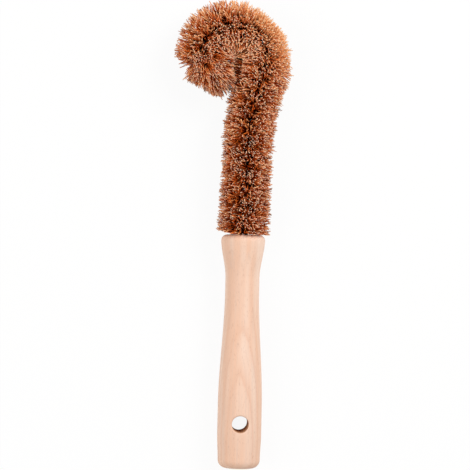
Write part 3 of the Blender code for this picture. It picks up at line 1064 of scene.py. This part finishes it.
@dataclass(frozen=True)
class Meeting:
    """Where the head, bent down against the shaft, meets it, and how their fibres press on each other."""

    shaft_end: float = 0.104
    head_start: float = 0.150
    bias: float = 0.0078
    share: float = 0.99
    own_reach: float = 0.0306
    path_points: int = 90
    first_share: float = 0.3
    steps: int = 29

    def free_share(
        self, route: StemRoute, start: float, distance: Array, core: Array, tip: Array
    ) -> Array:
        """Find how far a fibre gets before it meets the fibres of another stretch of the stem.

        Seen from above, two stretches meet where both cores are equally far, but the head presses its
        fibres past that line by the bias. The stem within the fibre's own reach along it doesn't count.
        The share is the first of a row of points from core to tip that lies past the line.

        Args:
            route: The stem.
            start: Where its bristles start.
            distance: Where the fibres' roots are.
            core: Core points there.
            tip: Where the tips would be.

        Returns:
            Shares of the way from core to tip, 1 where nothing is met.
        """
        path_distance = np.linspace(start, route.length(), self.path_points)
        path = route.core(path_distance)[0][:, :2]
        steps = np.linspace(self.first_share, 1.0, self.steps)
        points = core[:, None, :2] + (tip - core)[:, None, :2] * steps[:, None]
        own = np.linalg.norm(points - core[:, None, :2], axis=-1)
        apart = np.linalg.norm(points[:, :, None] - path, axis=-1)
        from_shaft = (distance[:, None] < self.shaft_end) & (path_distance > self.head_start)
        from_head = (distance[:, None] > self.head_start) & (path_distance < self.shaft_end)
        apart += self.bias * (from_head * 1.0 - from_shaft)[:, None]
        near = np.abs(path_distance - distance[:, None]) < self.own_reach
        apart[np.broadcast_to(near[:, None], apart.shape)] = np.inf
        met = apart.min(axis=-1) < own
        first = np.where(met.any(axis=1), steps[np.argmax(met, axis=1)], 1.0)
        return np.where(first < 1.0, first * self.share, 1.0)


@dataclass(frozen=True)
class Aim:
    """Where one section's fibres point, as arrays with an entry for each fibre.

    The distance is that of the tip along the stem, and the core is the core point there. Inwards is the
    share of the direction that looks to the stem's left, side is 1 or -1 for up or down, crowding and
    sweep are how much of each the fibre takes, and tuft holds its tuft's two draws.
    """

    distance: Array
    core: Array
    direction: Array
    inwards: Array
    side: Array
    crowding: Array
    sweep: Array
    tuft: Array


@dataclass(frozen=True)
class Bristles:
    """Coconut fibres that the two legs of the wire grip, trimmed to a round head and bent with the stem.

    The fibres of each section are drawn at random from its own seed, so every run grows the same ones.
    """

    route: StemRoute
    handle: Handle
    tufts: Tufts = Tufts()
    hollows: Hollows = Hollows()
    trim: Trim = Trim()
    meeting: Meeting = Meeting()
    seed: int = 11
    start: float = 0.0008
    sections: int = 12

    # Rows between the wire's legs, and loose fibres
    fibres_per_section: int = 1200
    row_swing_angle: float = 30.0
    loose_share: float = 0.16
    loose_swing_angle: float = 95.0
    lean_length: float = 0.0028
    start_lean_length: float = 0.0022
    start_lean_span: float = 0.006
    start_lean_power: int = 3
    end_lean_angle: float = 30.0
    end_lean_span: float = 0.006

    # Burst of fibres round the folded tip
    burst_fibres: int = 2700
    burst_length: float = 0.005
    burst_inner_share: float = 0.3
    burst_inner_angle: float = 55.0
    upright_share: float = 0.3
    upright_swing_angle: float = 32.0
    upright_lean_share: float = 0.55

    # One fibre
    fibre_diameter: float = 0.00056
    diameter_variation: float = 0.25
    diameter_range: tuple[float, float] = (0.5, 1.6)
    sides: int = 3
    ring_shares: tuple[float, ...] = (0.0, 0.28, 0.52, 0.74, 0.9, 1.0)
    tip_taper: float = 0.95
    root_offset: float = 0.0004
    grip_length: float = 0.0025
    middle_share: float = 0.35
    bow: float = 0.0007
    crinkle: float = 0.00022
    tip_curl: float = 0.00035
    steep_share: float = 0.8
    floor_clearance: float = 0.0001

    # Uneven lengths
    trim_variation: float = 0.0005
    tuft_trim_variation: float = 0.0002
    stray_share: float = 0.06
    stray_length: float = 0.0014
    short_share: float = 0.45
    short_length: float = 0.009

    # Flat cut at the end of the head, with a notch
    cut_heading_angle: float = 154.7
    cut_distance: float = 0.0114
    cut_least_facing: float = 0.05
    cut_least_lean: float = 0.02
    notch_place: tuple[float, float] = (-0.0369, 0.2398)
    notch_size: float = 0.0063
    notch_depth_share: float = 1.7

    # Lock of fibres that the meeting of head and shaft draws together
    lock_place: tuple[float, float, float] = (-0.0068, 0.2341, 0.0145)
    lock_size: float = 0.0068
    lock_pull_share: float = 0.8
    lock_from: float = 0.145
    lock_least_height: float = 0.002
    lock_free_share: float = 0.2

    # Fibres of the crown that are swept to its outer side
    sweep_place: float = 0.119
    sweep_span: float = 0.0125
    sweep_share: float = 0.45
    sweep_taken_share: float = 0.7
    sweep_from_angle: float = 94.0
    sweep_rise_angle: float = 34.0
    swept_side: float = 0.4
    swept_long_share: float = 0.6

    # Crowding on the inner side of the crook, and pressing where head and shaft meet
    crowd_from: float = 0.15
    crowd_span: float = 0.5
    crowd_share: float = 0.62
    crowd_height: float = 0.0150
    crowd_least_rise: float = 0.1
    side_blur: float = 0.15
    thinned_share: float = 0.35
    thinned_bend_share: float = 0.9
    thinned_side: float = 1.5
    thinned_lean: float = 0.2
    meeting_lift: float = 0.4
    under_reach: float = 1.8
    under_height: float = 0.0082

    # Tones, from 0 for dark to 1 for pale
    middle_tone: float = 0.49
    tone_variation: float = 0.28
    tuft_tone: float = 0.2
    # Painted light: fibres are made paler along the crown's stretches, where light falls on them and shines
    # through
    stretch_painted_light_tones: tuple[float, ...] = (0.06, 0.0, 0.04, 0.16, 0.30, 0.46, 0.32, 0.34, 0.17, 0.02)
    # Painted light: swept fibres, which lie flat in the light on the crown's outer side, are paler
    swept_painted_light_tone: float = 0.8
    lock_tone: float = 0.2
    # Painted shade: fibres over a hollow are made darker
    hollow_painted_shade_tone: float = -0.1
    tone_range: tuple[float, float] = (0.02, 0.98)
    least_reached: float = 0.2

    # The fibre's map: sides below, cut end above
    side_map_share: float = 0.9
    cap_map_share: float = 0.95
    map_patch: tuple[float, float] = (0.006, 0.02)

    def span(self, index: int) -> tuple[float, float]:
        """Start and end of one section, as distances along the stem."""
        length = (self.route.fold_start() - self.start) / self.sections
        return self.start + index * length, self.start + (index + 1) * length

    def lay_roots(self, index: int, rng: np.random.Generator) -> tuple[Array, Array, Array]:
        """Choose where one section's fibres start, round the stem and along it.

        Rows of fibres stand square to the legs on both sides, and loose ones stand anywhere. The last
        section ends in a burst that fills half a ball: the sine of the forward lean is even from 0 to 1.
        Some of the burst looks to the head's inner side, and some stands up or down and leans less.

        Args:
            index: Number of the section from the handle.
            rng: Source of the draws.

        Returns:
            Distances along the stem, angles about it from its left-hand side in radians, and forward
            leans in radians.
        """
        first, last = self.span(index)
        distance = rng.uniform(first, last, self.fibres_per_section)
        row = self.route.twist(distance) + math.pi / 2 * rng.choice((-1, 1), len(distance))
        loose = rng.random(len(distance)) < self.loose_share
        swing = math.radians(self.row_swing_angle) * rng.normal(size=len(distance))
        loose_swing = math.radians(self.loose_swing_angle) * rng.uniform(-1, 1, len(distance))
        angle = row + np.where(loose, loose_swing, swing)
        from_end = (self.route.fold_start() - distance) / self.end_lean_span
        lean = math.radians(self.end_lean_angle) * ease(1 - from_end)
        if index < self.sections - 1:
            return distance, angle, lean
        count = self.burst_fibres
        burst = rng.uniform(last - self.burst_length, last, count)
        inner = rng.random(count) < self.burst_inner_share
        around = rng.uniform(-math.pi, math.pi, count)
        around = np.where(inner, math.radians(self.burst_inner_angle) * rng.normal(size=count), around)
        upright = rng.random(count) < self.upright_share
        standing = math.pi / 2 * rng.choice((-1, 1), count)
        standing = standing + math.radians(self.upright_swing_angle) * rng.normal(size=count)
        around = np.where(upright, standing, around)
        lean_share = np.where(upright, self.upright_lean_share, 1.0)
        burst_lean = np.arcsin(rng.uniform(0.0, 1.0, count) * lean_share)
        parts = ((distance, burst), (angle, around), (lean, burst_lean))
        distance, angle, lean = (np.concatenate(part) for part in parts)
        return distance, angle, lean

    def thin_out(
        self, distance: Array, angle: Array, lean: Array, rng: np.random.Generator
    ) -> tuple[Array, Array, Array]:
        """Leave out some of the fibres on the inner side of the crook, where there is no room for all.

        Args:
            distance: Distances of the roots along the stem.
            angle: Their angles about it, in radians.
            lean: Forward leans, in radians.
            rng: Source of the draws.

        Returns:
            The same three arrays with the fibres that are kept.
        """
        in_bend = self.route.core(distance)[3] * self.route.crook_radius > self.thinned_bend_share
        inner = np.clip(np.cos(angle) * self.thinned_side, 0.0, 1.0)
        thinned = rng.random(len(distance)) < self.thinned_share * inner
        kept = ~(in_bend & thinned & (lean < self.thinned_lean))
        return distance[kept], angle[kept], lean[kept]

    def sweep_crown(
        self, distance: Array, angle: Array, rng: np.random.Generator
    ) -> tuple[Array, Array]:
        """Turn some upper fibres of the crown towards its outer side.

        The sweep is a bell along the stem. A fibre past the first angle turns by a share of its way to the
        outer side, which is at pi, and the share rises with its own angle.

        Args:
            distance: Distances of the tips along the stem.
            angle: Their angles about it, in radians.
            rng: Source of the draws.

        Returns:
            The new angles, and the strength of the sweep at each tip.
        """
        sweep = self.sweep_share * np.exp(-(((distance - self.sweep_place) / self.sweep_span) ** 2))
        turned = np.mod(angle, math.tau)
        past = np.clip((np.degrees(turned) - self.sweep_from_angle) / self.sweep_rise_angle, 0.0, 1.0)
        taken = rng.random(len(angle)) < self.sweep_taken_share
        past *= np.where(taken, 1.0, rng.random(len(angle)))
        return np.where(turned < math.pi, turned + (math.pi - turned) * sweep * past, angle), sweep

    def aim(self, distance: Array, row_angle: Array, lean: Array, rng: np.random.Generator) -> Aim:
        """Choose where each fibre of a section points.

        A tip leans along the stem from its root, is drawn into its tuft and may be swept. On the inner
        side of the crook the fibres are crowded up and down, out of the crook's plane: the angle from
        upright shrinks by a share that grows with the crowding.

        Args:
            distance: Distances of the roots along the stem.
            row_angle: Their angles about it, in radians.
            lean: Forward leans, in radians.
            rng: Source of the draws.

        Returns:
            The fibres' aim.
        """
        count = len(distance)
        tip_distance = distance + self.lean_length * rng.normal(size=count) * np.cos(lean)
        from_start = np.clip(1 - distance / self.start_lean_span, 0.0, 1.0)
        leftmost = np.maximum(np.cos(row_angle), 0.0)
        tip_distance += self.start_lean_length * from_start * leftmost**self.start_lean_power
        tip_distance, angle, tuft = self.tufts.gather(tip_distance, row_angle, self.trim.radius)
        leftmost = np.maximum(np.cos(angle), 0.0)
        lowest = self.start + self.start_lean_length * leftmost**self.start_lean_power
        tip_distance = np.clip(tip_distance, lowest, self.route.fold_start())
        core, forward, left, curvature = self.route.core(tip_distance)
        in_crook = np.clip(curvature * self.route.crook_radius, 0.0, 1.0)
        angle, sweep = self.sweep_crown(tip_distance, angle, rng)

        inwards = np.cos(angle)
        crowding = np.clip((inwards * in_crook - self.crowd_from) / self.crowd_span, 0.0, 1.0)
        side = np.where(np.sin(angle) + self.side_blur * rng.normal(size=count) > 0, 1.0, -1.0)
        from_up = np.arccos(np.clip(side * np.sin(angle), -1.0, 1.0))
        swung = from_up * (1 - self.crowd_share * crowding * rng.random(count))
        swung = np.where(crowding > 0, swung, from_up)
        leftwards = np.where(inwards > 0, 1.0, -1.0) * np.sin(swung)
        outward = left * leftwards[:, None] + UP * (side * np.cos(swung))[:, None]
        direction = outward * np.cos(lean)[:, None] + forward * np.sin(lean)[:, None]
        return Aim(tip_distance, core, direction, inwards, side, crowding, sweep, tuft)

    def cut_to_length(
        self, aim: Aim, lean: Array, rng: np.random.Generator
    ) -> tuple[Array, Array, Array]:
        """Find how long each fibre is: up to the trimmed surface or less, with strays and short ones.

        Args:
            aim: Where the fibres point.
            lean: Their forward leans, in radians.
            rng: Source of the draws.

        Returns:
            Reaches from the core, shares of the way to the trimmed surface, and how much of each fibre
            is a swept one, which sets its length and its painted light.
        """
        count = len(lean)
        reach = self.trim.reach(aim.distance, aim.inwards, lean)
        rise = np.maximum(np.abs(aim.direction[:, 2]), self.crowd_least_rise)
        reach = np.minimum(reach, np.where(aim.crowding > 0, self.crowd_height / rise, np.inf))
        reach += self.trim_variation * rng.normal(size=count) + self.tuft_trim_variation * aim.tuft[:, 0]
        reach += self.stray_length * (rng.random(count) < self.stray_share) * rng.random(count)
        # How much a fibre is a swept one, which shortens it less here and gives it painted light in grow
        swept = aim.sweep / self.sweep_share * ease(self.swept_side - aim.inwards)
        short = self.short_length * (rng.random(count) < self.short_share) * rng.random(count)
        short = short * (1 - self.swept_long_share * swept)
        reached = 1 - short / reach
        reach -= short

        turned = math.radians(self.cut_heading_angle)
        cut_direction = np.array((-math.sin(turned), math.cos(turned), 0.0))
        stem_end = self.route.core(np.array((self.route.length(),)))[0]
        facing = np.sum(aim.direction * cut_direction, axis=1)
        room = self.cut_distance - np.sum((aim.core - stem_end) * cut_direction, axis=1)
        room = room + self.trim_variation * rng.normal(size=count)
        cut = (facing > self.cut_least_facing) & (lean > self.cut_least_lean)
        cut_reach = np.minimum(reach, room / np.maximum(facing, self.cut_least_facing))
        return np.where(cut, cut_reach, reach), reached, swept

    def curve(self, core: Array, row_direction: Array, tip: Array, rng: np.random.Generator) -> Array:
        """Lead each fibre from the wire's grip to its tip.

        A fibre leaves the grip square to the legs and bends as a quadratic curve, (1-t)^2 root + 2t(1-t)
        middle + t^2 tip, plus a bow by sin(pi t), a crinkle by sin(2 pi t) and a curl by t^4. Over the
        handle's collar it keeps a fibre's thickness clear of the wood.

        Args:
            core: Core points at the roots.
            row_direction: Directions square to the stem at the roots.
            tip: Places of the tips.
            rng: Source of the draws.

        Returns:
            Centre lines in the brush's own frame, of shape (fibres, rings, 3).
        """
        t = np.array(self.ring_shares)[None, :, None]
        root = (core + row_direction * self.root_offset)[:, None]
        grip = (core + row_direction * self.grip_length)[:, None]
        middle = grip + (tip[:, None] - grip) * self.middle_share
        line = (1 - t) ** 2 * root + 2 * t * (1 - t) * middle + t**2 * tip[:, None]
        sway = rng.normal(size=(3, len(tip), 1, 3))
        line += self.bow * np.sin(math.pi * t) * sway[0] + self.crinkle * np.sin(math.tau * t) * sway[1]
        line += self.tip_curl * t**4 * sway[2]
        over_collar = np.linalg.norm(line[..., (0, 2)], axis=-1) < self.handle.collar_radius
        clearance = np.where(over_collar, self.fibre_diameter, -self.fibre_diameter)
        line[..., 1] = np.maximum(line[..., 1], self.handle.length + clearance)
        return line

    def grow(self, index: int, attitude: RestingAttitude) -> tuple[Array, Array, Array, Array]:
        """Lay out the centre lines of one section's fibres.

        Tips near the notch draw back, those near the lock draw to it, and those over a hollow sink. Where
        head and shaft meet, a fibre ends at the meeting line and lifts, and a low one slips under.

        Args:
            index: Number of the section from the handle.
            attitude: Where the brush lies, for the floor.

        Returns:
            Centre lines in the row frame, of shape (fibres, rings, 3), each fibre's thickness, its tone and
            the share of the way to the trimmed surface that it reaches.
        """
        rng = np.random.default_rng((self.seed, index))
        distance, row_angle, lean = self.thin_out(*self.lay_roots(index, rng), rng)
        count = len(distance)
        core = self.route.core(distance)[0]
        aim = self.aim(distance, row_angle, lean, rng)
        reach, reached, swept = self.cut_to_length(aim, lean, rng)

        tip = aim.core + aim.direction * reach[:, None]
        from_notch = np.linalg.norm(tip[:, :2] - np.array(self.notch_place), axis=1)
        notch_depth = self.notch_depth_share * np.maximum(self.notch_size - from_notch, 0.0)
        tip -= aim.direction * notch_depth[:, None]
        lock = np.array(self.lock_place)
        away = np.linalg.norm((tip - lock)[:, :2], axis=1)
        in_lock = (distance > self.lock_from) * (tip[:, 2] > self.lock_least_height)
        drawn = np.exp(-((away / self.lock_size) ** 2)) * in_lock
        tip += (lock - tip) * (self.lock_pull_share * drawn)[:, None]
        tip, sunk = self.hollows.sink(tip, aim.direction, self.under_height)
        # Painted shade: sunk tips are set deeper on the map, where the fibre's painted root shade darkens
        # them
        reached -= self.hollows.depth * sunk / reach

        free = self.meeting.free_share(self.route, self.start, distance, core, tip)
        free = np.where(drawn > self.lock_free_share, 1.0, free)
        lift = self.meeting_lift * (1 - free) * reach * rng.random(count)
        under = (tip[:, 2] < self.under_height) & (free < 1)
        free = np.where(under, np.minimum(free * self.under_reach, 1.0), free)
        tip = core + (tip - core) * free[:, None]
        tip[:, 2] += lift * aim.side

        line = attitude.place(self.curve(core, self.route.around(distance, row_angle), tip, rng))
        thickness = np.clip(1 + self.diameter_variation * rng.normal(size=count), *self.diameter_range)
        thickness = self.fibre_diameter * thickness
        line[..., 2] = np.maximum(line[..., 2], thickness[:, None] / 2 + self.floor_clearance)
        tone = self.middle_tone + self.tone_variation * rng.normal(size=count)
        tone += self.tuft_tone * aim.tuft[:, 1]
        # Painted light: paler fibres along the crown's stretches and on swept ones; painted shade: darker
        # ones over hollows
        tone += np.interp(aim.distance, self.trim.places, self.stretch_painted_light_tones)
        tone += self.swept_painted_light_tone * swept + self.lock_tone * drawn + self.hollow_painted_shade_tone * sunk
        return line, thickness, np.clip(tone, *self.tone_range), np.clip(reached, self.least_reached, 1.0)

    def build(self, attitude: RestingAttitude, finish: CoirFinish) -> list[bpy.types.Object]:
        """Make every section, from the handle outwards."""
        material = finish.make()
        return [self.build_section(index, attitude, material) for index in range(self.sections)]

    def build_section(
        self, index: int, attitude: RestingAttitude, material: bpy.types.Material
    ) -> bpy.types.Object:
        """Make one section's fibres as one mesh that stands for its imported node.

        A fibre is a three-sided tube: ring points are p + r (n cos a + b sin a) about its centre line, with
        the radius falling a little towards the tip, and a closed root and cut end. On the map the tone runs
        across and the way out to the trimmed surface runs up, with the cut end above the rest.

        Args:
            index: Number of the section from the handle.
            attitude: Where the brush lies.
            material: The fibre's material.

        Returns:
            The section.
        """
        line, thickness, tone, reached = self.grow(index, attitude)
        rings = len(self.ring_shares)
        tangent = unit(np.gradient(line, axis=1))
        helper = np.where(np.abs(tangent[:, :1, 2:]) < self.steep_share, UP, RIGHT)
        normal = unit(np.cross(tangent, helper))
        beside = np.cross(tangent, normal)
        turn = np.arange(self.sides) * math.tau / self.sides
        radius = thickness[:, None] / 2 * np.linspace(1.0, self.tip_taper, rings)
        circle = normal[:, :, None] * np.cos(turn)[:, None] + beside[:, :, None] * np.sin(turn)[:, None]
        vertices = (line[:, :, None] + circle * radius[:, :, None, None]).reshape(-1, 3)

        count, ring_size = len(line), rings * self.sides
        first = (np.arange(count) * ring_size)[:, None, None]
        quads = ring_faces(rings, self.sides)
        sides = (quads[None] + first).reshape(-1, 4)
        roots = np.arange(self.sides)[::-1] + first[:, 0]
        tips = np.arange(self.sides) + ring_size - self.sides + first[:, 0]

        patch_width, patch_height = self.map_patch
        share = np.array(self.ring_shares)[quads // self.sides] * self.side_map_share
        spread = quads % self.sides / self.sides * patch_width
        sides_map = np.stack((tone[:, None, None] + spread, share * reached[:, None, None]), axis=-1)
        cap = np.array(((0.0, 0.0), (patch_width, 0.0), (patch_width / 2, patch_height)))
        across = np.stack((tone, np.zeros(count)), axis=-1)[:, None]
        raised = np.stack((np.zeros(count), self.cap_map_share * reached), axis=-1)[:, None]
        caps_map = [(across + cap).reshape(-1, 2), (across + cap + raised).reshape(-1, 2)]

        number = f"{index + 1:02d}"
        bake_map = np.concatenate((sides_map.reshape(-1, 2), *caps_map))
        mesh = make_mesh(f"coir_section_{number}", vertices, [sides, roots, tips], bake_map)
        return show_piece(mesh, material, f"bristle_section_{number}")


@dataclass(frozen=True)
class Studio:
    """A pale table, soft light from above and a camera that looks straight down as in the photograph."""

    floor_size: float = 6.0
    floor_colour: str = "F4F3F1"
    floor_roughness: float = 0.8
    floor_glow: float = 0.92
    light_height: float = 1.0
    key_size: float = 0.7
    key_power: float = 12.0
    key_offset: tuple[float, float] = (0.75, 0.55)
    fill_size: float = 0.9
    fill_power: float = 7.8
    fill_offset: tuple[float, float] = (-0.9, -0.1)
    dome_strength: float = 0.38
    backdrop_strength: float = 1.0
    photo_width: float = 0.282
    target: tuple[float, float, float] = (0.0028, -0.0003, 0.014)
    distance: float = 1.75
    clip_start: float = 0.05
    roll_angle: float = 1.15
    left_angle: float = 2.3

    def lay_floor(self) -> None:
        """Lay the table top.

        Its matt laminate mirrors nothing of the brush. The camera, but not the brush, sees it mostly by a
        white glow of its own, so that its shadow is as faint as in the photograph.
        """
        half = self.floor_size / 2
        corners = np.array(((-half, -half, 0), (half, -half, 0), (half, half, 0), (-half, half, 0)))
        mesh = make_mesh("table_top", corners, [np.array(((0, 1, 2, 3),))])
        material, tree, shader = new_material("table top, matt white laminate")
        shader.inputs["Base Color"].default_value = srgb(self.floor_colour)
        shader.inputs["Roughness"].default_value = self.floor_roughness
        glow = add_node(tree, "ShaderNodeEmission", {"Color": srgb("FFFFFF"), "Strength": 1.0})
        camera_ray = add_node(tree, "ShaderNodeLightPath").outputs["Is Camera Ray"]
        glow_share = {"operation": "MULTIPLY", 1: self.floor_glow}
        share = add_node(tree, "ShaderNodeMath", glow_share, {0: camera_ray})
        mix = add_node(
            tree, "ShaderNodeMixShader",
            links={0: share.outputs[0], 1: shader.outputs["BSDF"], 2: glow.outputs["Emission"]},
        )
        tree.links.new(mix.outputs[0], tree.nodes["Material Output"].inputs["Surface"])
        mesh.materials.append(material)
        floor = add_object("table_top", mesh)

    def hang_light(self, name: str, place: Vector, size: float, power: float) -> None:
        """Hang a square soft light that faces the brush.

        Args:
            name: The light's name.
            place: Where it hangs.
            size: Length of its sides.
            power: Its power in watts.
        """
        data = bpy.data.lights.new(name, "AREA")
        data.size = size
        data.energy = power
        light = add_object(name, data)
        light.location = place
        light.rotation_euler = (Vector(self.target) - place).to_track_quat("-Z", "Y").to_euler()

    def light(self) -> None:
        """Hang the key over the brush and a fill on its other side, in a room of even light.

        The room gives less light than a white wall would, but is seen as white, as the table is.
        """
        key = Vector((*self.key_offset, self.light_height))
        fill = Vector((*self.fill_offset, self.light_height))
        self.hang_light("key_softbox", key, self.key_size, self.key_power)
        self.hang_light("fill_softbox", fill, self.fill_size, self.fill_power)
        world = bpy.data.worlds.new("studio_room")
        bpy.context.scene.world = world
        world.use_nodes = True
        tree, background = world.node_tree, world.node_tree.nodes["Background"]
        seen = add_node(tree, "ShaderNodeLightPath").outputs["Is Camera Ray"]
        strength = add_node(
            tree, "ShaderNodeMapRange",
            {"To Min": self.dome_strength, "To Max": self.backdrop_strength}, {"Value": seen},
        ).outputs["Result"]
        background.inputs["Color"].default_value = srgb("FFFFFF")
        tree.links.new(strength, background.inputs["Strength"])

    def set_camera(self) -> None:
        """Stand the camera over the brush, a little to its left, rolled as the photograph is."""
        roll, off = math.radians(self.roll_angle), math.radians(self.left_angle)
        right = Vector((math.cos(roll), math.sin(roll), 0.0))
        above = Vector((-math.sin(roll), math.cos(roll), 0.0))
        back = Vector((0.0, 0.0, 1.0)) * math.cos(off) - right * math.sin(off)
        side = above.cross(back)
        data = bpy.data.cameras.new("camera")
        data.angle = 2 * math.atan(self.photo_width / 2 / self.distance)
        data.clip_start = self.clip_start
        camera = add_object("camera", data)
        turn = Matrix((side, above, back)).transposed().to_4x4()
        camera.matrix_world = Matrix.Translation(Vector(self.target) + back * self.distance) @ turn
        bpy.context.scene.camera = camera

    def build(self) -> None:
        """Set up the table, the lights, the camera and plain colours."""
        self.lay_floor()
        self.light()
        self.set_camera()
        bpy.context.scene.view_settings.view_transform = "Standard"
        LOG.info("studio: camera %.2f m from the brush", self.distance)


def main() -> None:
    logging.basicConfig(level=logging.INFO, format="%(message)s")
    attitude = RestingAttitude.from_record(frame["record"])
    route = StemRoute()
    handle = Handle()
    handle.build(attitude, BeechFinish())
    StemWire(route).build(attitude, GalvanisedFinish())
    Bristles(route, handle).build(attitude, CoirFinish())
    Studio().build()


if __name__ == "__main__":
    main()
